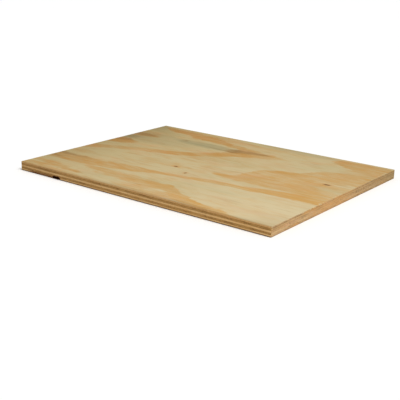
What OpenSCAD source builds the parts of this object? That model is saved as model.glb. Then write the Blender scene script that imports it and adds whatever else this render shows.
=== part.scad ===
// Plywood sheet: five rotary-cut veneers glued face to face with the grain crossed at each layer,
// then sawn square. Lies flat, origin at the bottom centre, +X along the grain of the face, +Z up.

/* [Sheet] */
// Length of the sheet, along the grain of the face veneer
sheet_l = 600; // [450:1:1220]
// Width of the sheet, across the grain of the face veneer
sheet_w = 450; // [300:1:1220]
// Easing of the four upright corners, worn by handling
corner_ease = 1.2; // [0.4:0.1:4]
// Easing of the long top and bottom edges
arris_ease = 0.6; // [0.2:0.1:1.2]

/* [Veneers, in the order they are laid up] */
// Back veneer, grain along the length
back_t = 4.0; // [3:0.1:5]
// Crossband under the core, grain across the sheet
lower_cross_t = 3.9; // [3:0.1:6]
// Core veneer in the middle, grain along the length
core_t = 3.5; // [2:0.1:5]
// Crossband under the face, grain across the sheet
upper_cross_t = 4.0; // [3:0.1:6]
// Face veneer, sanded thinner than the rest, grain along the length
face_t = 2.6; // [2:0.1:4]

/* [Knot hole in the back veneer, sawn open at the long front edge] */
// Distance of the hole's middle from the sheet's middle, along the length
knot_x = -197.5; // [-200:0.5:200]
// Radius of the hole left where the knot fell out
knot_r = 11; // [6:0.5:16]
// Distance of the hole's middle inside the edge
knot_inset = 3; // [0:0.5:5]
// How high the hole is torn up into the crossband above
knot_tear = 1.7; // [0.5:0.1:2.5]
// Thickness of the skin the knot left at the underside
knot_skin = 0.7; // [0.4:0.1:1.5]

/* [Nick in the back veneer, at the short right-hand edge] */
// Distance of the nick from the sheet's middle, across the width
nick_y = 83; // [-140:1:140]
// Radius of the nick
nick_r = 2.5; // [2:0.5:6]
// How far the nick bites into the edge
nick_bite = 1.5; // [1:0.5:2]

/* [Open pin knots and checks in the face] */
// Depth of the openings
check_depth = 1.2; // [0.4:0.1:1.5]

/* [Hidden] */
$fn = 48;

// Heights of the glue lines, counted from the underside
glue_1 = back_t;
glue_2 = glue_1 + lower_cross_t;
glue_3 = glue_2 + core_t;
glue_4 = glue_3 + upper_cross_t;
sheet_t = glue_4 + face_t;

// Far enough past a face to cut it cleanly
past = 5;

// Each opening in the face: [x, y, length, width, turn from the grain in degrees]
CHECKS = [
    [-42, -48, 7, 1.8, -4],
    [2, -73, 3.4, 2.6, 0],
    [250, 39, 11, 2.2, 3]
];

// The sheet seen from above, with its corners eased
module outline() {
    x = sheet_l / 2;
    y = sheet_w / 2;
    e = corner_ease;
    polygon([
        [-x + e, -y], [x - e, -y], [x, -y + e], [x, y - e],
        [x - e, y], [-x + e, y], [-x, y - e], [-x, -y + e]
    ]);
}

// A sawn layer of the sheet between two heights
module layer(low, high) {
    translate([0, 0, low])
        linear_extrude(high - low)
            outline();
}

// Cross-section of the whole sheet, reach to each side, with its top and bottom edges eased
module eased_section(reach) {
    e = arris_ease;
    polygon([
        [-reach + e, 0], [reach - e, 0], [reach, e], [reach, sheet_t - e],
        [reach - e, sheet_t], [-reach + e, sheet_t], [-reach, sheet_t - e], [-reach, e]
    ]);
}

// The sheet's envelope: one section run along the length and one run across it
module eased_envelope() {
    intersection() {
        rotate([90, 0, 90])
            translate([0, 0, -sheet_l / 2 - past])
                linear_extrude(sheet_l + 2 * past)
                    eased_section(sheet_w / 2);
        rotate([90, 0, 0])
            translate([0, 0, -sheet_w / 2 - past])
                linear_extrude(sheet_w + 2 * past)
                    eased_section(sheet_l / 2);
    }
}

// An outer layer, with the eased edge of the sheet
module outer_layer(low, high) {
    intersection() {
        layer(low, high);
        eased_envelope();
    }
}

// A round hole sawn open by the long front edge, from one height up to another
module knot_hole(low, high, radius) {
    translate([knot_x, -sheet_w / 2 + knot_inset, low])
        cylinder(h = high - low, r = radius);
}

// A knock in the lower edge of the short side
module edge_nick() {
    translate([sheet_l / 2 - nick_bite + nick_r, nick_y, -past])
        cylinder(h = glue_1 + past, r = nick_r);
}

// A boat-shaped opening in the face, pointed at both ends along the grain
module check(length, width) {
    r = (pow(length, 2) + pow(width, 2)) / (4 * width);
    offset_y = r - width / 2;
    intersection() {
        translate([0, offset_y, 0]) cylinder(h = check_depth + past, r = r);
        translate([0, -offset_y, 0]) cylinder(h = check_depth + past, r = r);
    }
}

module back_veneer() {
    color([0.75, 0.62, 0.42])
        difference() {
            outer_layer(0, glue_1);
            knot_hole(knot_skin, glue_1 + past, knot_r);
            edge_nick();
        }
}

module lower_crossband() {
    color([0.60, 0.44, 0.24])
        difference() {
            layer(glue_1, glue_2);
            knot_hole(glue_1 - past, glue_1 + knot_tear, knot_r - knot_tear);
        }
}

module core_veneer() {
    color([0.76, 0.60, 0.40])
        layer(glue_2, glue_3);
}

module upper_crossband() {
    color([0.58, 0.42, 0.22])
        layer(glue_3, glue_4);
}

module face_veneer() {
    color([0.80, 0.70, 0.52])
        difference() {
            outer_layer(glue_4, sheet_t);
            for (c = CHECKS)
                translate([c[0], c[1], sheet_t - check_depth])
                    rotate(c[4])
                        check(c[2], c[3]);
        }
}

back_veneer();
lower_crossband();
core_veneer();
upper_crossband();
face_veneer();
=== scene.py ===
import math

import bmesh
import bpy
import numpy as np
from mathutils import Matrix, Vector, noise


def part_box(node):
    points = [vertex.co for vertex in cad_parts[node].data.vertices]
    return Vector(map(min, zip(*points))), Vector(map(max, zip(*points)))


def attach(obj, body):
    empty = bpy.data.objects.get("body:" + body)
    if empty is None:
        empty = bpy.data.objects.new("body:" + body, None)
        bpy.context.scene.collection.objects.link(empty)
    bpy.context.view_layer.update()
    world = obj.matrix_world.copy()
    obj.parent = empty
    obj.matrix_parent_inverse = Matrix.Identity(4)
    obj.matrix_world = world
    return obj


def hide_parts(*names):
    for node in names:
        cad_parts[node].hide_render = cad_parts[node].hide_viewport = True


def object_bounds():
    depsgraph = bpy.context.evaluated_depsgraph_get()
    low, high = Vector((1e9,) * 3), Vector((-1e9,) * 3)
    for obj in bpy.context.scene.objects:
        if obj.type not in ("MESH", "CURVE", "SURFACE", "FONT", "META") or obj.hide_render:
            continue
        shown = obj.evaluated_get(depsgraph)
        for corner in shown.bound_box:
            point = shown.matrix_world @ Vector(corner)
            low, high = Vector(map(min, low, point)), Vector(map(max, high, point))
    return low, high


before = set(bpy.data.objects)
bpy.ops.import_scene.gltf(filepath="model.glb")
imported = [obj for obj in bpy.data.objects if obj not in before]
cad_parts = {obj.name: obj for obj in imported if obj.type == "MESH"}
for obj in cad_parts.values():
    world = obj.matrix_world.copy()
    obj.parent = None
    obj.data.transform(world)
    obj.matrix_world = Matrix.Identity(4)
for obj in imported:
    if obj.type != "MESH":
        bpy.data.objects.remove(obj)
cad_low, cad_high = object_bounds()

# Studio: a matt white floor that runs out of sight, one broad soft light high on the right and an
# even white surround. The camera looks down across the long front edge of the sheet.
FLOOR_HALF = 30.0
FLOOR_GAP = 0.0002
CAMERA_PLACE = (0.9335, -1.2304, 0.4388)
CAMERA_TURN = (72.262, -1.041, 38.023)
CAMERA_LENS = 71.81
CAMERA_FILM = 36
SURROUND = 0.4
SOFTBOX_POWER = 2.45
SOFTBOX_SPREAD = 35
SOFTBOX_TURN = (4, 30, 0)


def tint(red, green, blue):
    """A colour given as it looks on a screen, 0 to 255, in the linear light that shaders want."""
    return tuple(((c / 255 + 0.055) / 1.055) ** 2.4 for c in (red, green, blue)) + (1.0,)


def lay(tree, kind, inputs=None, out=0, **settings):
    """Adds one shader node, feeds its inputs with numbers or other outputs, and gives one output."""
    made = tree.nodes.new("ShaderNode" + kind)
    for key, value in settings.items():
        setattr(made, key, value)
    for key, value in (inputs or {}).items():
        if isinstance(value, bpy.types.NodeSocket):
            tree.links.new(value, made.inputs[key])
        else:
            made.inputs[key].default_value = value
    return made.outputs[out]


def bare_material(name):
    """An empty material with only its surface shader, and the shader's node."""
    material = bpy.data.materials.new(name)
    material.use_nodes = True
    return material, material.node_tree, material.node_tree.nodes["Principled BSDF"]


def stand_piece(name, mesh_work, material):
    """Turns finished mesh work into a scene object at the origin."""
    mesh = bpy.data.meshes.new(name)
    mesh_work.to_mesh(mesh)
    mesh_work.free()
    piece = bpy.data.objects.new(name, mesh)
    bpy.context.scene.collection.objects.link(piece)
    piece.data.materials.append(material)
    return piece


floor_work = bmesh.new()
bmesh.ops.create_grid(floor_work, x_segments=1, y_segments=1, size=FLOOR_HALF)
bmesh.ops.translate(floor_work, verts=floor_work.verts, vec=(0, 0, cad_low.z - FLOOR_GAP))
floor_paint, _, floor_surface = bare_material("studio_floor")
floor_surface.inputs["Base Color"].default_value = tint(250, 251, 252)
floor_surface.inputs["Roughness"].default_value = 0.9
floor_surface.inputs["Specular IOR Level"].default_value = 0.1
floor = stand_piece("studio_floor", floor_work, floor_paint)

surround = bpy.data.worlds.new("white_surround")
surround.use_nodes = True
backdrop = surround.node_tree.nodes["Background"]
backdrop.inputs["Color"].default_value = (1.0, 1.0, 1.0, 1.0)
backdrop.inputs["Strength"].default_value = SURROUND
bpy.context.scene.world = surround

softbox = bpy.data.lights.new("softbox", "SUN")
softbox.energy = SOFTBOX_POWER
softbox.angle = math.radians(SOFTBOX_SPREAD)
softbox.color = (1.0, 0.99, 0.97)
softbox_stand = bpy.data.objects.new("softbox", softbox)
softbox_stand.rotation_euler = [math.radians(turn) for turn in SOFTBOX_TURN]
bpy.context.scene.collection.objects.link(softbox_stand)

lens = bpy.data.cameras.new("camera")
lens.lens = CAMERA_LENS
lens.sensor_width = CAMERA_FILM
lens.clip_start = 0.01
lens.clip_end = 200
camera = bpy.data.objects.new("camera", lens)
camera.location = CAMERA_PLACE
camera.rotation_euler = [math.radians(turn) for turn in CAMERA_TURN]
bpy.context.scene.collection.objects.link(camera)
bpy.context.scene.camera = camera
bpy.context.scene.view_settings.view_transform = "Standard"

# Back veneer: peeled from a pine log, dried and laid with its grain along the sheet, then sawn with
# the rest. Its underside is left unsanded. Where the saw cut the front edge a knot has broken out,
# leaving a thin skin at the underside; the skin and the walls of the hole are painted dark as shade.
MM = 0.001
SHEET_L = cad_high.x - cad_low.x
SHEET_W = cad_high.y - cad_low.y
SAW_STEP = 2 * MM
ARRIS = 0.6 * MM
CORNER_R = 2.0 * MM
SIDE_ROWS = 6
KNOT_AT = (-197.5 * MM, -222.0 * MM)
KNOT_R = 11 * MM
KNOT_TEAR = 1.7 * MM
KNOT_SHADE_SKIN = 0.7 * MM
TORN_FROM = -280 * MM
TORN_TO = -206 * MM
TORN_HEIGHT = 3.6 * MM
NICK_AT = (SHEET_L / 2 + 1.0 * MM, 83 * MM)
NICK_R = 2.5 * MM


def drop_rim(plate, rim, fall, spread_l, spread_w):
    """Draws the open rim of a plate down by one step, and spreads it by a factor each way."""
    made = bmesh.ops.extrude_edge_only(plate, edges=rim)["geom"]
    corners = [part for part in made if isinstance(part, bmesh.types.BMVert)]
    fresh = set(corners)
    bmesh.ops.translate(plate, verts=corners, vec=(0, 0, -fall))
    bmesh.ops.scale(plate, verts=corners, vec=(spread_l, spread_w, 1))
    edges = [part for part in made if isinstance(part, bmesh.types.BMEdge)]
    return [edge for edge in edges if edge.verts[0] in fresh and edge.verts[1] in fresh]


def sawn_plate(node, shows):
    """A veneer with its four sawn sides. shows is 1 if its top is seen, -1 its underside, 0 neither."""
    low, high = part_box(node)
    thickness = high.z - low.z
    along = round(SHEET_L / SAW_STEP)
    across = round(SHEET_W / SAW_STEP)
    plate = bmesh.new()
    if shows:
        bmesh.ops.create_grid(plate, x_segments=along, y_segments=across, size=0.5)
        rim = [edge for edge in plate.edges if edge.is_boundary]
    else:
        bmesh.ops.create_grid(plate, x_segments=1, y_segments=1, size=0.5)
        bmesh.ops.delete(plate, geom=plate.faces[:], context="FACES_ONLY")
        lengthways = [e for e in plate.edges if abs(e.verts[0].co.y - e.verts[1].co.y) < 0.5]
        crossways = [e for e in plate.edges if e not in lengthways]
        bmesh.ops.subdivide_edges(plate, edges=lengthways, cuts=along - 1)
        bmesh.ops.subdivide_edges(plate, edges=crossways, cuts=across - 1)
        rim = plate.edges[:]
        top_rim = rim[:]
    eased = ARRIS if shows else 0
    bmesh.ops.scale(plate, verts=plate.verts, vec=(SHEET_L - 2 * eased, SHEET_W - 2 * eased, 1))
    bmesh.ops.translate(plate, verts=plate.verts, vec=(0, 0, thickness))
    if shows:
        grow_l = SHEET_L / (SHEET_L - 2 * ARRIS)
        grow_w = SHEET_W / (SHEET_W - 2 * ARRIS)
        first = (1 + (grow_l - 1) * 0.7, 1 + (grow_w - 1) * 0.7)
        rim = drop_rim(plate, rim, ARRIS * 0.3, first[0], first[1])
        rim = drop_rim(plate, rim, ARRIS * 0.7, grow_l / first[0], grow_w / first[1])
    for _ in range(SIDE_ROWS):
        rim = drop_rim(plate, rim, (thickness - eased) / SIDE_ROWS, 1, 1)
    bmesh.ops.edgeloop_fill(plate, edges=rim)
    if shows == 0:
        bmesh.ops.edgeloop_fill(plate, edges=top_rim)
    if shows < 0:
        bmesh.ops.scale(plate, verts=plate.verts, vec=(1, 1, -1))
        bmesh.ops.translate(plate, verts=plate.verts, vec=(0, 0, thickness))
    bmesh.ops.translate(plate, verts=plate.verts, vec=(0, 0, low.z))
    for corner in plate.verts:
        over_x = abs(corner.co.x) - (SHEET_L / 2 - CORNER_R)
        over_y = abs(corner.co.y) - (SHEET_W / 2 - CORNER_R)
        if over_x > 0 and over_y > 0:
            pull = 1 - max(over_x, over_y) / math.hypot(over_x, over_y)
            corner.co.x -= math.copysign(over_x * pull, corner.co.x)
            corner.co.y -= math.copysign(over_y * pull, corner.co.y)
    bmesh.ops.recalc_face_normals(plate, faces=plate.faces)
    return plate


def saw_depth(run, height, end_grain, seed):
    """How far the saw and handling have eaten in at a point on a side, in millimetres."""
    run /= MM
    height /= MM
    if end_grain:
        fibres = noise.noise((run * 0.9, height * 0.35, seed)) * 0.16
        hollow = noise.noise((run * 0.06, height * 1.1, seed + 7)) * 0.22
        chip = max(0.0, noise.noise((run * 0.28, height * 0.5, seed + 13)) - 0.34) * 2.4
    else:
        fibres = noise.noise((run * 0.05, height * 1.6, seed)) * 0.12
        hollow = noise.noise((run * 0.015, height * 0.5, seed + 7)) * 0.14
        chip = max(0.0, noise.noise((run * 0.05, height * 0.9, seed + 13)) - 0.42) * 1.6
    return max(0.0, 0.22 + fibres + hollow + chip)


def roughen_sides(plate, node, grain_along_sheet, seed):
    """Saw marks, torn fibres and chips on the four sides. The glue lines stand a little proud."""
    low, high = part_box(node)
    middle = (low.z + high.z) / 2
    half = (high.z - low.z) / 2
    for corner in plate.verts:
        from_x = SHEET_L / 2 - abs(corner.co.x)
        from_y = SHEET_W / 2 - abs(corner.co.y)
        if min(from_x, from_y) > 0.9 * ARRIS + 0.01 * MM:
            continue
        long_side = from_y <= from_x
        run = corner.co.x if long_side else corner.co.y + 3
        glue = min(1.0, 1.25 - abs(corner.co.z - middle) / half)
        end_grain = long_side != grain_along_sheet
        deep = saw_depth(run, corner.co.z, end_grain, seed) * (0.25 + 0.75 * glue) * MM
        if long_side:
            corner.co.y -= math.copysign(deep, corner.co.y)
        else:
            corner.co.x -= math.copysign(deep, corner.co.x)


def cut_away(piece, cutter):
    """Cuts a torn-out shape from a veneer and throws the cutter away."""
    bite = piece.modifiers.new("torn_out", "BOOLEAN")
    bite.operation = "DIFFERENCE"
    bite.solver = "EXACT"
    bite.object = cutter
    finished = piece.evaluated_get(bpy.context.evaluated_depsgraph_get())
    piece.data = bpy.data.meshes.new_from_object(finished)
    piece.modifiers.clear()
    bpy.data.objects.remove(cutter)


def torn_plug(name, place, radius, low, high, rag, seed):
    """A ragged upright plug, the shape that a lost knot leaves."""
    plug = bmesh.new()
    bmesh.ops.create_cone(
        plug, cap_ends=True, segments=40, radius1=radius, radius2=radius, depth=high - low
    )
    sides = [edge for edge in plug.edges if abs(edge.verts[0].co.z - edge.verts[1].co.z) > 0]
    bmesh.ops.subdivide_edges(plug, edges=sides, cuts=5)
    bmesh.ops.translate(plug, verts=plug.verts, vec=(place[0], place[1], (low + high) / 2))
    for corner in plug.verts:
        reach = noise.noise((corner.co.x * 260, corner.co.y * 260, corner.co.z * 420 + seed))
        corner.co.x += (corner.co.x - place[0]) * reach * rag
        corner.co.y += (corner.co.y - place[1]) * reach * rag
        corner.co.z += reach * rag * 2.0 * MM
    bmesh.ops.triangulate(plug, faces=plug.faces)
    bmesh.ops.recalc_face_normals(plug, faces=plug.faces)
    return stand_piece(name, plug, floor_paint)


# Where the parts of a veneer's map lie and how large they are, as shares of the map's side or, for
# the two scales, as shares for each metre
MAP_RIM = 0.005
MAP_SPAN = 0.99
STRIP_GAP = 0.006
HIDDEN_AT = 0.93
HIDDEN_SCALE = 0.09
HOLLOW_AT = 0.80
HOLLOW_SCALE = (2.0, 1.2)


def lay_out_map(piece, node, shows):
    """Gives the veneer its map: the face that shows, then a strip for each side, then what is hidden."""
    low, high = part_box(node)
    thickness = high.z - low.z
    half_l = SHEET_L / 2
    half_w = SHEET_W / 2
    strips_from = 0.765 if shows else 0.05
    strip = 0.05 if shows else 0.21
    hollows_from = strips_from + 3.97 * (strip + 0.004)
    hidden_from = 0.956 if shows else 0.001
    layer = piece.data.uv_layers.new(name="OFBake")
    piece.data.uv_layers.active = layer
    for face in piece.data.polygons:
        from_end = half_l - abs(face.center.x)
        from_side = half_w - abs(face.center.y)
        level = abs(face.normal.z) > 0.9
        for corner, loop in zip(face.vertices, face.loop_indices):
            place = piece.data.vertices[corner].co
            along = MAP_RIM + (place.x + half_l) / SHEET_L * MAP_SPAN
            across = MAP_RIM + (place.y + half_w) / SHEET_L * MAP_SPAN
            rise = (place.z - low.z) / thickness
            if level and face.normal.z * shows > 0:
                spot = (along, across)
            elif level:
                hidden_x = HIDDEN_AT + (place.x + half_l) * HIDDEN_SCALE
                spot = (hidden_x, hidden_from + (place.y + half_w) * HIDDEN_SCALE)
            elif min(from_end, from_side) > 4 * MM:
                round_knot = place.x - KNOT_AT[0] + (place.y - KNOT_AT[1]) * 0.4
                spot = (HOLLOW_AT + round_knot * HOLLOW_SCALE[0], hollows_from + place.z * HOLLOW_SCALE[1])
            elif from_side <= from_end:
                row = 0 if face.center.y < 0 else 1
                spot = (along, strips_from + row * (strip + STRIP_GAP) + rise * strip)
            else:
                row = 2 if face.center.x > 0 else 3
                spot = (across, strips_from + row * (strip + STRIP_GAP) + rise * strip)
            layer.data[loop].uv = spot


def mixed(tree, share, first, second):
    """One colour laid over another by a share from 0 to 1."""
    return lay(tree, "Mix", {0: share, 6: first, 7: second}, out=2, data_type="RGBA")


def figured(tree, place, scale, detail=3.0, rough=0.55):
    """Noise stretched by three scales, in waves for each metre."""
    stretched = lay(tree, "Mapping", {"Vector": place, "Scale": scale})
    return lay(tree, "TexNoise", {"Vector": stretched, "Scale": 1.0, "Detail": detail, "Roughness": rough})


def spread(tree, value, low, high, to_low=0.0, to_high=1.0):
    """A value stretched from one range to another, and held inside it."""
    reach = {"Value": value, "From Min": low, "From Max": high, "To Min": to_low, "To Max": to_high}
    return lay(tree, "MapRange", reach)


def reckon(tree, kind, first, second=0.0):
    """Plain arithmetic on one or two values."""
    return lay(tree, "Math", {0: first, 1: second}, operation=kind)


def total(tree, first, *others):
    """Values added up."""
    for other in others:
        first = reckon(tree, "ADD", first, other)
    return first


def product(tree, first, *others):
    """Values multiplied together, such as the shares of several masks."""
    for other in others:
        first = reckon(tree, "MULTIPLY", first, other)
    return first


def axis_of(tree, vector, axis):
    """One axis of a place or of a direction."""
    return lay(tree, "SeparateXYZ", {0: vector}, out=axis)


def away_from(tree, place, spot):
    """The distance from a fixed spot, in metres."""
    return lay(tree, "VectorMath", {0: place, 1: spot}, out="Value", operation="DISTANCE")


# What shows on a sawn side: end grain is dark, open and specked, with short slanting knife checks.
# Long grain is pale with fine lines. Both have a thin dark glue line along them, and both grow
# greyer and darker with distance from the front right corner of the sheet, partly from age and
# partly as painted light falloff.
FRESH_LIT_REACH = 30 * MM
AGED_SHADED_REACH = 750 * MM
AMBER_FRONT = (-130 * MM, -60 * MM)
AMBER_BACK = (70 * MM, 0.0)
GREY_END = (60 * MM, 200 * MM)
# How high above the floor the painted contact shadow fades out
CONTACT_SHADE_HEIGHT = (1.0 * MM, 2.3 * MM)
FAR_END_GREY = tint(116, 104, 62)
# The next two are painted shade: the torn strip left of the lost knot, then the walls and floor of its
# hole
TORN_SHADE = tint(112, 70, 26)
KNOT_HOLE_SHADE = tint(98, 56, 26)
LIGHT_PLY = {
    "end_light": tint(200, 168, 122),
    "end_dark": tint(164, 126, 80),
    "long_light": tint(236, 198, 138),
    "long_dark": tint(202, 154, 90),
    "honey": tint(212, 156, 88),
    "rosy": tint(222, 178, 140),
    "aged_and_shaded": tint(132, 106, 66),
    "check": tint(88, 54, 26),
    "glue": tint(112, 74, 40),
}


def fresh_lit_to_aged_shaded(tree, place):
    """0 at the front right corner, up to 1 at the back left corner: age and painted light falloff."""
    away = away_from(tree, place, (SHEET_L / 2, -SHEET_W / 2, 0))
    return spread(tree, away, FRESH_LIT_REACH, AGED_SHADED_REACH)


def end_grain(tree, place, shades):
    """Colour, pores and knife checks where the saw crossed the grain. Rings run along the veneer."""
    rings = figured(tree, place, (14, 14, 1500), 3.0, 0.6)
    pores = figured(tree, place, (1100, 1100, 1400), 2.0, 0.7)
    blots = figured(tree, place, (60, 60, 260), 3.0, 0.6)
    slant = lay(tree, "VectorMath", {0: place, 1: (330, 330, 260)}, out="Value", operation="DOT_PRODUCT")
    upright = product(tree, axis_of(tree, place, "Z"), 70.0)
    slant = lay(tree, "CombineXYZ", {0: slant, 1: upright})
    cracks = lay(tree, "TexNoise", {"Vector": slant, "Scale": 1.0, "Detail": 1.0})
    cracks = reckon(tree, "ABSOLUTE", reckon(tree, "SUBTRACT", cracks, 0.5))
    checks = product(tree, spread(tree, cracks, 0.006, 0.03, 1.0, 0.0), spread(tree, blots, 0.45, 0.55))
    dark = total(
        tree,
        spread(tree, rings, 0.35, 0.65, 0, 0.5),
        spread(tree, pores, 0.3, 0.7, 0, 0.35),
        spread(tree, blots, 0.4, 0.75, -0.1, 0.35),
    )
    colour = mixed(tree, dark, shades["end_light"], shades["end_dark"])
    return mixed(tree, product(tree, checks, 0.55), colour, shades["check"]), pores, checks


def long_grain(tree, place, shades):
    """Colour, fine lines and clouds where the saw ran with the grain."""
    lines = figured(tree, place, (45, 45, 2600), 4.0, 0.65)
    clouds = figured(tree, place, (26, 26, 160), 3.0, 0.6)
    streak = total(tree, spread(tree, lines, 0.3, 0.7, 0, 0.6), spread(tree, clouds, 0.35, 0.7, 0, 0.5))
    return mixed(tree, streak, shades["long_light"], shades["long_dark"]), lines, clouds


def glue_share(tree, place, height, node, long_side, short_glue):
    """How much glue shows at the veneer's two faces. short_glue is its strength on the short sides."""
    low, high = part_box(node)
    to_low = reckon(tree, "ABSOLUTE", reckon(tree, "SUBTRACT", height, low.z))
    to_high = reckon(tree, "ABSOLUTE", reckon(tree, "SUBTRACT", height, high.z))
    near = reckon(tree, "MINIMUM", to_low, to_high)
    line_edge = spread(tree, long_side, 0, 1, (0.2 + 0.45 * short_glue) * MM, 0.42 * MM)
    wander = figured(tree, place, (90, 90, 90), 2.0)
    return product(
        tree,
        spread(tree, near, 0.1 * MM, line_edge, 0.75, 0.0),
        spread(tree, wander, 0.3, 0.6, 0.2, 1.0),
        spread(tree, long_side, 0, 1, short_glue, 1.0),
    )


def stained_side(tree, place, moved, colour, short_side, shades):
    """Honey stretches on every side, and rosy and resinous patches and dark flecks on the short ones."""
    honey = figured(tree, moved, (12, 12, 40), 2.0)
    colour = mixed(tree, spread(tree, honey, 0.48, 0.7, 0, 0.34), colour, shades["honey"])
    rosy_place = lay(tree, "VectorMath", {0: place, 1: (3, 5, 0)}, operation="ADD")
    rosy = spread(tree, figured(tree, rosy_place, (9, 9, 70), 3.0, 0.6), 0.5, 0.66, 0, 0.5)
    toward_front = spread(tree, axis_of(tree, place, "Y"), 120 * MM, -20 * MM, 0.1, 1.0)
    colour = mixed(tree, product(tree, rosy, short_side, toward_front), colour, shades["rosy"])
    resin = spread(tree, figured(tree, place, (16, 16, 55), 3.0, 0.6), 0.52, 0.66, 0, 0.5)
    colour = mixed(tree, product(tree, resin, short_side), colour, shades["honey"])
    flecks = spread(tree, figured(tree, moved, (110, 110, 380), 3.0, 0.6), 0.56, 0.7, 0, 0.5)
    return mixed(tree, product(tree, flecks, short_side), colour, shades["glue"])


def weathered_and_shaded_side(tree, place, colour, long_side, short_side, clouds, shades):
    """Greying from age and painted light falloff, an amber stretch and a grey far end on the short
    sides, and a painted contact shadow along the bottom.
    """
    # Greyer and darker away from the front right corner: partly age, partly painted light falloff
    aged_and_shaded = fresh_lit_to_aged_shaded(tree, place)
    colour = mixed(tree, spread(tree, aged_and_shaded, 0.0, 1.0, 0.0, 0.42), colour, shades["aged_and_shaded"])
    inward = axis_of(tree, place, "Y")
    amber = product(
        tree,
        spread(tree, inward, *AMBER_FRONT, 0, 0.5),
        spread(tree, inward, *AMBER_BACK),
        spread(tree, clouds, 0.38, 0.62, 0.35, 1.0),
        short_side,
    )
    colour = mixed(tree, amber, colour, shades["honey"])
    far_end = product(tree, spread(tree, inward, *GREY_END, 0.0, 0.36), short_side)
    colour = mixed(tree, far_end, colour, FAR_END_GREY)
    # Painted contact shadow: the foot of the sides is darkened, less on the short sides
    above_floor = reckon(tree, "SUBTRACT", axis_of(tree, place, "Z"), cad_low.z)
    contact_shade = spread(tree, above_floor, *CONTACT_SHADE_HEIGHT, 0.9, 0.0)
    contact_shade = product(tree, contact_shade, spread(tree, long_side, 0, 1, 0.3, 1.0))
    return mixed(tree, contact_shade, colour, shades["check"])


def sawn_side_colour(tree, place, node, grain_along_sheet, shades, seed, short_glue=0.5):
    """Colour, relief and the share of end grain on a veneer's sawn sides."""
    moved = lay(tree, "VectorMath", {0: place, 1: (seed * 0.37, seed * 0.61, 0)}, operation="ADD")
    facing = lay(tree, "TexCoord", out="Normal")
    faces_y = reckon(tree, "ABSOLUTE", axis_of(tree, facing, "Y"))
    faces_x = reckon(tree, "ABSOLUTE", axis_of(tree, facing, "X"))
    long_side = reckon(tree, "GREATER_THAN", faces_y, faces_x)
    short_side = reckon(tree, "SUBTRACT", 1.0, long_side)
    end_on = short_side if grain_along_sheet else long_side
    ends, pores, checks = end_grain(tree, moved, shades)
    lengths, lines, clouds = long_grain(tree, moved, shades)
    colour = mixed(tree, end_on, lengths, ends)
    glue = glue_share(tree, moved, axis_of(tree, place, "Z"), node, long_side, short_glue)
    colour = mixed(tree, glue, colour, shades["glue"])
    colour = stained_side(tree, place, moved, colour, short_side, shades)
    colour = weathered_and_shaded_side(tree, place, colour, long_side, short_side, clouds, shades)
    relief = reckon(tree, "SUBTRACT", total(tree, pores, lines), checks)
    return colour, relief, end_on


def finish_surface(tree, surface, colour, roughness, relief, depth):
    """Joins a finished colour, roughness and relief to the surface shader."""
    tree.links.new(colour, surface.inputs["Base Color"])
    tree.links.new(roughness, surface.inputs["Roughness"])
    bump = lay(tree, "Bump", {"Height": relief, "Strength": 0.6, "Distance": depth})
    tree.links.new(bump, surface.inputs["Normal"])
    surface.inputs["Specular IOR Level"].default_value = 0.25


def knot_and_tear_shade(tree, place, colour, reach, top):
    """Painted shade in the hole of the lost knot, and over the torn fibres to the left of it."""
    flat = lay(tree, "VectorMath", {0: place, 1: (1, 1, 0)}, operation="MULTIPLY")
    away = away_from(tree, flat, KNOT_AT + (0,))
    run = axis_of(tree, place, "X")
    front = -SHEET_W / 2
    rag = figured(tree, place, (210, 210, 300), 3.0, 0.7)
    ragged = total(tree, axis_of(tree, place, "Z"), spread(tree, rag, 0.3, 0.7, -0.9 * MM, 0.9 * MM))
    # Painted shade over the torn-out fibres left of the knot, ragged at its edges
    torn_strip_shade = product(
        tree,
        spread(tree, run, TORN_FROM - 2 * MM, TORN_FROM + 14 * MM),
        spread(tree, run, TORN_TO, TORN_TO - 8 * MM),
        spread(tree, ragged, TORN_HEIGHT + 2.6 * MM, TORN_HEIGHT + 1.0 * MM),
        spread(tree, axis_of(tree, place, "Y"), front + 7 * MM, front + 3 * MM),
        spread(tree, rag, 0.3, 0.55, 0.35, 0.85),
    )
    colour = mixed(tree, torn_strip_shade, colour, TORN_SHADE)
    # Painted shade on the walls and floor of the knot's hole
    hole_shade = spread(tree, away, reach - 0.3 * MM, reach + 2.0 * MM, 1.0, 0.0)
    hole_shade = product(tree, hole_shade, spread(tree, ragged, top + 0.7 * MM, top))
    return mixed(tree, hole_shade, colour, KNOT_HOLE_SHADE)


BACK_PALE = tint(206, 180, 134)
BACK_ORANGE = tint(186, 136, 76)


def unsanded_back_wood():
    """Peeled wood left rough: a broad figure below, and sawn sides with painted shade round the lost knot.
    """
    wood, tree, surface = bare_material("unsanded_back")
    place = lay(tree, "TexCoord", out="Object")
    side, side_relief = sawn_side_colour(tree, place, "back_veneer", True, LIGHT_PLY, seed=1)[:2]
    bend = figured(tree, place, (3.0, 9.0, 1.0), 3.0)
    rings = reckon(tree, "FRACT", reckon(tree, "MULTIPLY", bend, 9.0))
    fine = figured(tree, place, (14, 520, 60), 4.0, 0.6)
    orange = product(tree, spread(tree, rings, 0.25, 0.9), 0.75)
    orange = total(tree, orange, spread(tree, fine, 0.35, 0.7, -0.1, 0.25))
    under = mixed(tree, orange, BACK_PALE, BACK_ORANGE)
    facing_up = axis_of(tree, lay(tree, "TexCoord", out="Normal"), "Z")
    colour = mixed(tree, spread(tree, facing_up, -0.6, -0.9), side, under)
    # Painted shade in the knot's hole, up to 6 mm above the underside, and over the torn strip
    colour = knot_and_tear_shade(tree, place, colour, KNOT_R, 6 * MM)
    rough = spread(tree, fine, 0.3, 0.7, 0.72, 0.88)
    finish_surface(tree, surface, colour, rough, total(tree, side_relief, fine), 0.25 * MM)
    return wood


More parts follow.
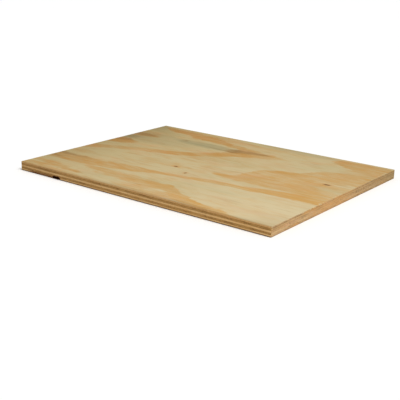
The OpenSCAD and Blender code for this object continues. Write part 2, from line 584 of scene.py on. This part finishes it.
def tear_front_edge(plate):
    """Tears fibres out of the front edge, left of the knot."""
    for corner in plate.verts:
        run = corner.co.x / MM
        rise = corner.co.z / MM
        at_front = corner.co.y < -SHEET_W / 2 + 1.5 * MM
        if at_front and corner.co.z < TORN_HEIGHT and TORN_FROM < corner.co.x < TORN_TO:
            torn = 0.7 + 0.8 * noise.noise((run * 0.27, rise * 0.5, 3))
            torn += 0.6 * noise.noise((run * 0.9, rise, 8))
            fade = min(1, (run - TORN_FROM / MM) / 15) * math.sin(math.pi * (rise + 0.5) / 4.2)
            corner.co.y += 1.3 * MM * max(0, torn) * fade


back_wood = unsanded_back_wood()
back_plate = sawn_plate("back_veneer", shows=-1)
roughen_sides(back_plate, "back_veneer", grain_along_sheet=True, seed=11)
tear_front_edge(back_plate)
back_veneer = stand_piece("back_veneer_sheet", back_plate, back_wood)
lost_knot = torn_plug("lost_knot", KNOT_AT, KNOT_R, KNOT_SHADE_SKIN, 7 * MM, rag=0.16, seed=5)
cut_away(back_veneer, lost_knot)
edge_knock = torn_plug("edge_knock", NICK_AT, NICK_R, -3 * MM, 2.8 * MM, rag=0.3, seed=9)
cut_away(back_veneer, edge_knock)
lay_out_map(back_veneer, "back_veneer", shows=-1)
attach(back_veneer, "root")
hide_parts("back_veneer")

# Lower crossband: a thick, coarse veneer laid with its grain across the sheet, so the long edges
# show its dark end grain. It is torn up a little where the knot below pulled out.
CROSS_PLY = {
    "end_light": tint(194, 150, 86),
    "end_dark": tint(146, 102, 44),
    "long_light": tint(210, 178, 130),
    "long_dark": tint(182, 143, 94),
    "honey": tint(202, 148, 82),
    "rosy": tint(214, 172, 134),
    "aged_and_shaded": tint(112, 82, 42),
    "check": tint(90, 56, 28),
    "glue": tint(106, 70, 38),
}


def side_only_wood(name, node, grain_along_sheet, shades, seed, knot_reach=None, short_glue=0.5):
    """Bare sawn wood for a veneer that shows only at its edges."""
    wood, tree, surface = bare_material(name)
    place = lay(tree, "TexCoord", out="Object")
    sides = sawn_side_colour(tree, place, node, grain_along_sheet, shades, seed, short_glue)
    colour, relief, end_on = sides
    if knot_reach:
        # Painted shade in the torn hole over the lost knot, and over the torn strip beside it
        colour = knot_and_tear_shade(tree, place, colour, knot_reach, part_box(node)[0].z + KNOT_TEAR)
    rough = spread(tree, end_on, 0, 1, 0.7, 0.86)
    finish_surface(tree, surface, colour, rough, relief, 0.3 * MM)
    return wood


TEAR_R = KNOT_R - KNOT_TEAR
lower_wood = side_only_wood(
    "lower_crossband_edge", "lower_crossband", False, CROSS_PLY, seed=2, knot_reach=TEAR_R
)
lower_plate = sawn_plate("lower_crossband", shows=0)
roughen_sides(lower_plate, "lower_crossband", grain_along_sheet=False, seed=23)
lower_crossband = stand_piece("lower_crossband_sheet", lower_plate, lower_wood)
tear_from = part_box("lower_crossband")[0].z
tear_to = tear_from + KNOT_TEAR
knot_tear = torn_plug("knot_tear", KNOT_AT, TEAR_R, tear_from - 2 * MM, tear_to, rag=0.2, seed=6)
cut_away(lower_crossband, knot_tear)
lay_out_map(lower_crossband, "lower_crossband", shows=0)
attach(lower_crossband, "root")
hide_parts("lower_crossband")

# Core veneer: the middle layer, the same wood as the back, glued with its grain along the sheet.
# The long edges show it as a pale band of long grain, the short ones as dark end grain.
core_wood = side_only_wood("core_edge", "core_veneer", True, LIGHT_PLY, seed=3)
core_plate = sawn_plate("core_veneer", shows=0)
roughen_sides(core_plate, "core_veneer", grain_along_sheet=True, seed=37)
core_veneer = stand_piece("core_veneer_sheet", core_plate, core_wood)
lay_out_map(core_veneer, "core_veneer", shows=0)
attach(core_veneer, "root")
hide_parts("core_veneer")

# Upper crossband: as the lower one, peeled thick and glued under the face with its grain across
# the sheet. Its long grain on the short edges is a little darker, with a stronger glue line.
UPPER_PLY = dict(CROSS_PLY, long_light=tint(206, 172, 118), long_dark=tint(174, 136, 86))
FACE_GLUE = 1.4
upper_wood = side_only_wood(
    "upper_crossband_edge", "upper_crossband", False, UPPER_PLY, seed=4, short_glue=FACE_GLUE
)
upper_plate = sawn_plate("upper_crossband", shows=0)
roughen_sides(upper_plate, "upper_crossband", grain_along_sheet=False, seed=41)
upper_crossband = stand_piece("upper_crossband_sheet", upper_plate, upper_wood)
lay_out_map(upper_crossband, "upper_crossband", shows=0)
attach(upper_crossband, "root")
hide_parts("upper_crossband")

# Face veneer: the best peel of the log, grain along the sheet, sanded flat. Where the knife crossed
# a growth ring at a shallow angle the orange summerwood shows as long flames with rounded tips.
# Each is a softness above and below, then stations along it: (x, middle y, half width, depth), in mm.
FLAMES = {
    "upper_arm": (8, 5, [
        (-284, 209, 2, 0.5), (-262, 203, 10, 0.85), (-230, 198, 13, 0.85), (-200, 197, 15, 0.75),
        (-170, 190, 20, 0.75), (-140, 184, 20, 0.85), (-112, 180, 17, 0.85), (-88, 173, 13, 0.8),
        (-64, 166, 11, 0.75), (-40, 159, 11, 0.7), (-10, 152, 13, 0.7), (22, 146, 13, 0.7),
        (52, 142, 12, 0.6), (80, 139, 9, 0.4), (112, 136, 1, 0.2)]),
    "back_edge": (7, 9, [
        (-190, 211, 2, 0.3), (-150, 206, 8, 0.4), (-100, 200, 12, 0.45), (-50, 196, 12, 0.4),
        (0, 196, 8, 0.25), (60, 194, 8, 0.2), (120, 194, 8, 0.15), (140, 194, 2, 0.1)]),
    "lower_arm": (7, 6, [
        (-302, -37, 18, 0.85), (-278, -30, 17, 0.85), (-252, -15, 14, 0.65), (-226, -4, 11, 0.6),
        (-202, 6, 11, 0.5), (-176, 15, 13, 0.45), (-150, 22, 14, 0.6), (-124, 28, 14, 0.8),
        (-100, 38, 15, 0.8), (-78, 50, 18, 0.8), (-58, 65, 21, 0.8), (-38, 82, 25, 0.85),
        (-18, 101, 23, 0.85), (4, 114, 19, 0.8), (30, 124, 15, 0.75), (60, 128, 11, 0.5),
        (96, 130, 1, 0.2)]),
    "twig": (6, 6, [
        (-40, 66, 6, 0.5), (0, 66, 6, 0.35), (30, 62, 5, 0.25), (60, 50, 4, 0.2), (80, 40, 1, 0.1)]),
    "inner_ring": (6, 7, [
        (-302, 116, 14, 1.0), (-278, 118, 14, 1.0), (-258, 119, 12, 1.0), (-240, 118, 7, 0.85),
        (-228, 117, 1, 0.6)]),
    "inner_halo": (12, 10, [
        (-302, 138, 20, 0.5), (-260, 138, 17, 0.5), (-236, 130, 8, 0.3), (-212, 124, 1, 0.2)]),
    "outer_ring": (7, 8, [
        (-302, 44, 24, 1.0), (-284, 46, 24, 1.0), (-266, 46, 21, 0.95), (-248, 45, 13, 0.75),
        (-230, 42, 1, 0.4)]),
    "far_corner": (4, 8, [
        (176, 201, 3, 0.6), (184, 201, 14, 0.7), (200, 199, 16, 0.75), (222, 191, 25, 0.65),
        (250, 187, 30, 0.6), (275, 184, 32, 0.6), (302, 181, 34, 0.6)]),
    "broad_flame": (4, 7, [
        (39, -40, 1, 0.5), (46, -40, 8, 0.6), (62, -40, 10, 0.6), (84, -36, 12, 0.6),
        (90, -20, 28, 0.6), (96, -8, 38, 0.6), (106, 0, 48, 0.6), (120, 4, 53, 0.58),
        (140, 9, 59, 0.56), (170, 12, 62, 0.54), (184, 20, 70, 0.54), (192, 30, 80, 0.56),
        (210, 35, 85, 0.58), (240, 40, 90, 0.58), (302, 48, 98, 0.6)]),
    "broad_rim": (5, 12, [
        (98, 38, 2, 0.4), (118, 45, 9, 0.75), (140, 54, 12, 0.86), (165, 60, 10, 0.75),
        (184, 66, 5, 0.55)]),
    "upper_rim": (5, 12, [
        (188, 96, 5, 0.5), (204, 102, 12, 0.7), (235, 116, 12, 0.76), (262, 126, 10, 0.7),
        (284, 132, 2, 0.5)]),
    "broad_tip": (5, 8, [
        (42, -40, 5, 0.6), (56, -40, 9, 0.75), (76, -39, 9, 0.82), (96, -36, 6, 0.65),
        (112, -34, 1, 0.5)]),
    "long_band": (6, 4, [
        (-302, -134, 22, 0.75), (-260, -133, 22, 0.7), (-210, -132, 20, 0.7), (-170, -131, 21, 0.65),
        (-140, -127, 20, 0.7), (-110, -120, 18, 0.75), (-80, -114, 16, 0.75), (-50, -107, 12, 0.75),
        (-20, -101, 9, 0.7), (10, -97, 8, 0.65), (40, -92, 8, 0.65), (80, -86, 9.5, 0.6),
        (120, -82, 9.5, 0.62), (160, -77, 11, 0.7), (200, -70, 12, 0.75), (240, -66, 15, 0.75),
        (302, -64, 17, 0.8)]),
    "near_band": (4, 9, [
        (-190, -158, 3, 0.4), (-160, -163, 9, 0.6), (-130, -166, 14, 0.72), (-100, -168, 17, 0.66),
        (-60, -170, 19, 0.64), (-20, -170, 18, 0.66), (10, -172, 17, 0.7), (40, -170, 15, 0.74),
        (56, -178, 15, 0.7), (76, -193, 16, 0.66), (98, -205, 15, 0.7), (124, -212, 13, 0.76),
        (160, -217, 11, 0.75), (200, -221, 8, 0.6), (236, -225, 3, 0.3)]),
    "near_corner": (6, 7, [
        (-302, -187, 10, 0.6), (-262, -188, 10, 0.58), (-225, -193, 9, 0.5), (-190, -200, 8, 0.45),
        (-160, -207, 6, 0.45), (-140, -213, 1, 0.2)]),
    "corner_brown": (8, 8, [
        (-302, -214, 10, 0.4), (-250, -212, 10, 0.35), (-200, -216, 8, 0.3), (-150, -221, 5, 0.25),
        (-60, -224, 3, 0.2), (60, -224, 2, 0.1)]),
    "knot_halo": (9, 9, [
        (-92, -46, 2, 0.2), (-68, -44, 14, 0.3), (-40, -42, 16, 0.38), (-20, -44, 10, 0.25),
        (-6, -44, 1, 0.1)]),
    "middle_blush": (16, 16, [
        (-100, 38, 4, 0.05), (-74, 34, 34, 0.2), (-34, 30, 44, 0.24), (4, 22, 38, 0.16),
        (34, 20, 8, 0.05)]),
    "left_blush": (16, 16, [
        (-244, -36, 8, 0.06), (-160, -36, 34, 0.13), (-100, -34, 36, 0.19), (-62, -30, 10, 0.1)]),
    "wedge_end": (10, 10, [
        (208, 140, 2, 0.05), (236, 146, 15, 0.28), (268, 148, 16, 0.4), (302, 150, 16, 0.45)]),
    "apex_core": (8, 10, [
        (-44, 130, 8, 0.3), (-24, 131, 16, 0.6), (0, 137, 14, 0.7), (30, 143, 11, 0.75),
        (60, 146, 8, 0.7), (90, 142, 3, 0.3)]),
    "rim_tan": (10, 10, [
        (-84, -205, 3, 0.06), (-40, -205, 14, 0.3), (10, -206, 16, 0.38), (56, -208, 15, 0.4),
        (96, -216, 8, 0.4), (120, -220, 3, 0.2)]),
    "left_patch": (12, 12, [(-302, -84, 16, 0.3), (-260, -84, 12, 0.25), (-230, -84, 2, 0.1)]),
}
# The flames that the thin growth rings run round
RING_FLAMES = [
    "upper_arm", "lower_arm", "inner_ring", "outer_ring",
    "far_corner", "broad_flame", "long_band", "near_band",
]
# Pale wood that runs into the broad flame from the right-hand end
PALE_TONGUE = (9, 9, [(243, 14, 3, 0.3), (256, 17, 26, 0.55), (276, 18, 38, 0.6), (302, 20, 44, 0.62)])
# Weathered streaks, then resin-stained ones, with the same stations as the flames
GREY_STREAKS = {
    "blue_stain": (12, 12, [
        (-214, 130, 2, 0.15), (-186, 131, 10, 0.6), (-150, 130, 15, 0.78), (-100, 130, 16, 0.8),
        (-60, 130, 15, 0.78), (-36, 131, 12, 0.35), (-14, 132, 4, 0.15), (0, 134, 1, 0.05)]),
    "ring_shadow": (6, 6, [
        (-302, 86, 14, 1.0), (-282, 87, 14, 1.0), (-264, 90, 10, 0.7), (-240, 96, 8, 0.4),
        (-210, 103, 8, 0.3), (-170, 108, 7, 0.2), (-150, 110, 1, 0.1)]),
    "ring_field": (16, 16, [
        (-302, 106, 42, 0.42), (-240, 106, 44, 0.4), (-180, 106, 38, 0.34), (-130, 100, 24, 0.16),
        (-100, 98, 2, 0.02)]),
    "back_corner": (14, 20, [
        (-302, 196, 28, 0.7), (-284, 192, 27, 0.62), (-262, 176, 18, 0.3), (-236, 168, 14, 0.2),
        (-200, 160, 2, 0.1)]),
    "back_rim": (6, 14, [
        (-20, 218, 4, 0.2), (40, 215, 10, 0.35), (120, 213, 12, 0.35), (168, 212, 8, 0.3),
        (182, 212, 1, 0.1)]),
}
BROWN_STREAKS = {
    "band_top": (3, 7, [
        (-302, -117, 7, 0.8), (-262, -117, 6, 0.7), (-225, -117, 4, 0.35), (-185, -117, 1, 0.15)]),
    "band_middle": (4, 4, [(-302, -142, 4, 0.6), (-274, -142, 5, 0.6), (-260, -142, 1, 0.2)]),
    "apex": (6, 8, [
        (-52, 128, 4, 0.2), (-36, 128, 14, 0.7), (-22, 130, 16, 1.0), (-6, 136, 12, 0.7),
        (20, 142, 9, 0.75), (44, 146, 6, 0.8), (62, 146, 1, 0.4)]),
    "ring_inner": (6, 8, [(-302, 120, 12, 0.6), (-262, 120, 9, 0.55), (-238, 119, 1, 0.3)]),
    "ring_outer": (5, 6, [(-302, 58, 12, 0.55), (-272, 60, 10, 0.6), (-250, 58, 1, 0.3)]),
    "front_rim": (6, 6, [
        (-200, -224, 1, 0.1), (-130, -223, 4, 0.2), (-60, -221, 6, 0.3), (0, -220, 7, 0.32),
        (60, -222, 6, 0.35), (100, -222, 6, 0.45), (150, -222, 6, 0.45), (200, -223, 5, 0.35),
        (260, -224, 4, 0.2), (302, -225, 2, 0.1)]),
    "ring_dark": (6, 6, [(-302, 86, 12, 0.4), (-282, 87, 11, 0.35), (-262, 90, 4, 0.1)]),
    "dark_spot": (5, 5, [(-178, 134, 1, 0.4), (-166, 133, 6, 0.7), (-154, 130, 1, 0.3)]),
}


def flame_share(x, y, flame):
    """How much of a flame lies at each point, soft over its two edges."""
    soft_above, soft_below, stations = flame
    runs, middles, halves, depths = zip(*stations)
    middle = np.interp(x, runs, middles)
    half = np.interp(x, runs, halves, left=0.0, right=0.0)
    depth = np.interp(x, runs, depths)
    outside = np.abs(y - middle) - half
    soft = np.where(y > middle, soft_above, soft_below) * 0.6
    edge = np.clip(0.5 - outside / (2 * soft), 0, 1)
    return depth * edge * edge * (3 - 2 * edge) * np.clip(half / 3, 0, 1)


def flame_distance(x, y, flame):
    """How far each point lies outside a flame, in millimetres, shorter along the grain than across."""
    stations = flame[2]
    runs, middles, halves, _ = zip(*stations)
    past_end = np.maximum(0, np.maximum(runs[0] - x, x - runs[-1])) * 0.12
    outside = np.abs(y - np.interp(x, runs, middles)) - np.interp(x, runs, halves)
    return np.where(past_end > 0, np.hypot(past_end, np.maximum(outside, 0)), outside)


def wandering(x, y, along, across, seed):
    """Noise at each point of the face, given in waves for each millimetre along and across."""
    return np.array([noise.noise((a * along, b * across, seed)) for a, b in zip(x, y)])


def deepest(x, y, flames):
    """The depth of the strongest of several flames at each point."""
    return np.max([flame_share(x, y, flame) for flame in flames.values()], axis=0)


def write_figure(piece):
    """Writes the summerwood, growth rings, grey stain and brown streaks onto the face as attributes."""
    places = np.empty(len(piece.data.vertices) * 3)
    piece.data.vertices.foreach_get("co", places)
    x = places[0::3] / MM
    y = places[1::3] / MM
    sway = wandering(x, y, 0.012, 0.03, 4.0)
    fray = wandering(x, y, 0.045, 0.13, 9.0)
    fleck = wandering(x, y, 0.11, 0.4, 15.0)
    y_bent = y + 3.0 * sway + 5.0 * fray + 1.5 * fleck
    x_bent = x + 9.0 * fray + 4.0 * fleck
    from_rings = [flame_distance(x_bent, y_bent, FLAMES[name]) for name in RING_FLAMES]
    layers = {
        "summerwood": deepest(x_bent, y_bent, FLAMES) * (1 - flame_share(x_bent, y_bent, PALE_TONGUE)),
        "ring_distance": np.min(from_rings, axis=0),
        "grey_stain": deepest(x_bent, y_bent, GREY_STREAKS),
        "brown_streak": deepest(x_bent, y_bent, BROWN_STREAKS),
    }
    for name, values in layers.items():
        piece.data.attributes.new(name, "FLOAT", "POINT").data.foreach_set("value", values)


# Shades of the face: bare wood fresh, and aged with painted light falloff, the casts and stains in it,
# its darker left end and front rim, and the dirt where it is held
FACE_PLY = dict(LIGHT_PLY, long_light=tint(216, 172, 112), long_dark=tint(180, 132, 72))
FACE_SHADES = {
    "pale": tint(213, 196, 156),
    "pale_aged_and_shaded": tint(174, 154, 104),
    "orange": tint(210, 161, 86),
    "orange_aged_and_shaded": tint(168, 122, 56),
    "green_cast": tint(160, 158, 112),
    "rosy_cast": tint(206, 156, 112),
    "grey_stain": tint(128, 122, 88),
    "brown_streak": tint(126, 88, 34),
    "stroke": tint(146, 106, 54),
    "speck": tint(140, 104, 62),
    "left_end_dark": tint(118, 96, 54),
    "front_rim_dark": tint(142, 100, 44),
    "thumbed": tint(158, 136, 94),
}
# Each pin knot: its middle along and across the sheet, half its length and width, in mm, and its turn
# from the grain, in degrees
PIN_KNOTS = [(-42, -48, 3.5, 0.9, -4), (2, -73, 1.7, 1.3, 0), (250, 39, 5.5, 1.1, 3)]
PIN_KNOT_DEPTH = 1.2 * MM
# The halo, rim and heart of a pin knot: full up to, gone from (both in knot radii), strength and shade
PIN_KNOT_RINGS = [
    (1.2, 4.0, 0.4, tint(198, 134, 48)),
    (0.9, 1.9, 0.8, tint(120, 70, 20)),
    (0.6, 1.0, 0.9, tint(72, 40, 18)),
]
RINGS_PER_MM = 0.11


def face_grains(tree, place):
    """Noise for the face, from fine hairs to broad clouds, each drawn out along the sheet."""
    return {
        "hairs": figured(tree, place, (16, 950, 10), 4.0, 0.6),
        "ribbons": figured(tree, place, (6, 130, 10), 4.0, 0.6),
        "patches": figured(tree, place, (22, 80, 10), 3.0, 0.6),
        "clouds": figured(tree, place, (6, 14, 10), 3.0, 0.5),
        "specks": figured(tree, place, (60, 1500, 10), 2.0, 0.6),
    }


def summerwood_share(tree, place, grains, boldness):
    """How orange the wood is: the flames, frayed at their edges, then the grain and thin rings."""
    flames = lay(tree, "Attribute", out="Fac", attribute_name="summerwood")
    grain = total(
        tree,
        spread(tree, grains["ribbons"], 0.3, 0.7, -0.18, 0.18),
        spread(tree, grains["hairs"], 0.3, 0.7, -0.12, 0.12),
        spread(tree, grains["patches"], 0.3, 0.7, -0.22, 0.22),
    )
    clouds = spread(tree, grains["clouds"], 0.3, 0.7, -0.12, 0.16)
    edges = product(tree, flames, reckon(tree, "SUBTRACT", 1.0, flames))
    fray = spread(tree, figured(tree, place, (26, 420, 10), 3.0, 0.6), 0.3, 0.7, -1.6, 1.6)
    ring_run = lay(tree, "Attribute", out="Fac", attribute_name="ring_distance")
    ring_run = total(tree, ring_run, spread(tree, grains["clouds"], 0.2, 0.8, -9.0, 9.0))
    ring_run = reckon(tree, "FRACT", product(tree, ring_run, RINGS_PER_MM))
    rings = product(
        tree,
        spread(tree, ring_run, 0.55, 0.93),
        spread(tree, ring_run, 1.0, 0.94),
        spread(tree, grains["patches"], 0.4, 0.6, 0.05, 0.22),
        boldness,
    )
    return total(tree, flames, product(tree, grain, boldness), clouds, product(tree, edges, fray), rings)


def stained_face(tree, place, grains, boldness, colour):
    """Green and rosy casts, grey stain, brown streaks, short dark strokes and specks in the wood."""
    green = spread(tree, figured(tree, place, (7, 22, 30), 3.0, 0.6), 0.5, 0.75, 0, 0.22)
    colour = mixed(tree, green, colour, FACE_SHADES["green_cast"])
    rosy = spread(tree, figured(tree, place, (14, 34, 20), 3.0, 0.6), 0.52, 0.75, 0, 0.3)
    colour = mixed(tree, rosy, colour, FACE_SHADES["rosy_cast"])
    grey = lay(tree, "Attribute", out="Fac", attribute_name="grey_stain")
    grey = product(tree, grey, spread(tree, grains["ribbons"], 0.3, 0.7, 0.42, 0.82))
    colour = mixed(tree, grey, colour, FACE_SHADES["grey_stain"])
    brown = lay(tree, "Attribute", out="Fac", attribute_name="brown_streak")
    colour = mixed(tree, product(tree, brown, 0.6), colour, FACE_SHADES["brown_streak"])
    strokes = spread(tree, figured(tree, place, (20, 270, 20), 2.0, 0.5), 0.58, 0.74, 0, 0.32)
    colour = mixed(tree, product(tree, strokes, boldness), colour, FACE_SHADES["stroke"])
    return mixed(tree, spread(tree, grains["specks"], 0.66, 0.8, 0, 0.3), colour, FACE_SHADES["speck"])


def darkened_and_held_face(tree, place, colour):
    """Darker towards the left end and along the front rim, and dirt at the front right corner, where it is
    held.
    """
    left = -SHEET_L / 2
    front = -SHEET_W / 2
    inward = axis_of(tree, place, "Y")
    left_end_dark = spread(tree, axis_of(tree, place, "X"), left, left + 110 * MM, 0.2, 0.0)
    left_end_dark = product(tree, left_end_dark, spread(tree, inward, front + 35 * MM, front + 75 * MM, 0.05, 1.0))
    colour = mixed(tree, left_end_dark, colour, FACE_SHADES["left_end_dark"])
    front_rim_dark = spread(tree, inward, front + 0.4 * MM, front + 4.5 * MM, 0.5, 0.0)
    colour = mixed(tree, front_rim_dark, colour, FACE_SHADES["front_rim_dark"])
    corner_away = away_from(tree, place, (-left, front, face_top))
    thumbed = spread(tree, corner_away, 6 * MM, 80 * MM, 0.3, 0.0)
    return mixed(tree, thumbed, colour, FACE_SHADES["thumbed"])


def knotted_face(tree, place, specks, colour):
    """The halo, rim and dark heart of each pin knot."""
    for x, y, long, wide, turn in PIN_KNOTS:
        middle = (x * MM, y * MM, face_top)
        flat = lay(tree, "VectorMath", {0: place, 1: middle}, operation="SUBTRACT")
        shape = lay(tree, "Mapping", {
            "Vector": flat,
            "Rotation": (0, 0, math.radians(-turn)),
            "Scale": (1 / (long * MM), 1 / (wide * 2 * MM), 60),
        })
        away = lay(tree, "VectorMath", {0: shape}, out="Value", operation="LENGTH")
        away = total(tree, away, spread(tree, specks, 0.3, 0.7, -0.3, 0.3))
        for full, gone, strength, shade in PIN_KNOT_RINGS:
            colour = mixed(tree, spread(tree, away, full, gone, strength, 0.0), colour, shade)
    return colour


def sanded_face_wood():
    """Sanded softwood with sawn sides, darker to the back left from age and painted light falloff."""
    wood, tree, surface = bare_material("sanded_face")
    place = lay(tree, "TexCoord", out="Object")
    side = sawn_side_colour(tree, place, "face_veneer", True, FACE_PLY, 5, short_glue=FACE_GLUE)[0]
    grains = face_grains(tree, place)
    # The wood darkens toward the back left corner, partly with age and partly as painted light falloff
    aged_and_shaded = fresh_lit_to_aged_shaded(tree, place)
    boldness = spread(tree, aged_and_shaded, 0.0, 0.6, 0.5, 1.0)
    late_share = summerwood_share(tree, place, grains, boldness)
    pale = mixed(tree, aged_and_shaded, FACE_SHADES["pale"], FACE_SHADES["pale_aged_and_shaded"])
    orange = mixed(tree, aged_and_shaded, FACE_SHADES["orange"], FACE_SHADES["orange_aged_and_shaded"])
    colour = mixed(tree, spread(tree, late_share, 0.0, 1.0), pale, orange)
    colour = stained_face(tree, place, grains, boldness, colour)
    colour = darkened_and_held_face(tree, place, colour)
    colour = knotted_face(tree, place, grains["specks"], colour)
    facing_up = axis_of(tree, lay(tree, "TexCoord", out="Normal"), "Z")
    colour = mixed(tree, spread(tree, facing_up, 0.35, 0.75), side, colour)
    rough = spread(tree, late_share, 0.0, 1.0, 0.74, 0.58)
    relief = total(tree, grains["hairs"], product(tree, late_share, 0.5))
    finish_surface(tree, surface, colour, rough, relief, 0.12 * MM)
    return wood


def open_pin_knot(x, y, long, wide, turn):
    """The ragged hollow of one pin knot, to be cut from the face."""
    hollow = bmesh.new()
    bmesh.ops.create_uvsphere(hollow, u_segments=20, v_segments=10, radius=1.0)
    bmesh.ops.scale(hollow, verts=hollow.verts, vec=(long * MM, wide * MM, PIN_KNOT_DEPTH))
    for corner in hollow.verts:
        corner.co.y *= 1 + 0.4 * noise.noise((corner.co.x * 900, x, 1))
    turned = Matrix.Rotation(math.radians(turn), 3, "Z")
    bmesh.ops.rotate(hollow, verts=hollow.verts, cent=(0, 0, 0), matrix=turned)
    bmesh.ops.translate(hollow, verts=hollow.verts, vec=(x * MM, y * MM, face_top))
    return stand_piece("pin_knot", hollow, floor_paint)


face_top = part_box("face_veneer")[1].z
face_wood = sanded_face_wood()
face_plate = sawn_plate("face_veneer", shows=1)
roughen_sides(face_plate, "face_veneer", grain_along_sheet=True, seed=53)
face_veneer = stand_piece("face_veneer_sheet", face_plate, face_wood)
for pin_knot in PIN_KNOTS:
    cut_away(face_veneer, open_pin_knot(*pin_knot))
lay_out_map(face_veneer, "face_veneer", shows=1)
write_figure(face_veneer)
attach(face_veneer, "root")
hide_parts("face_veneer")
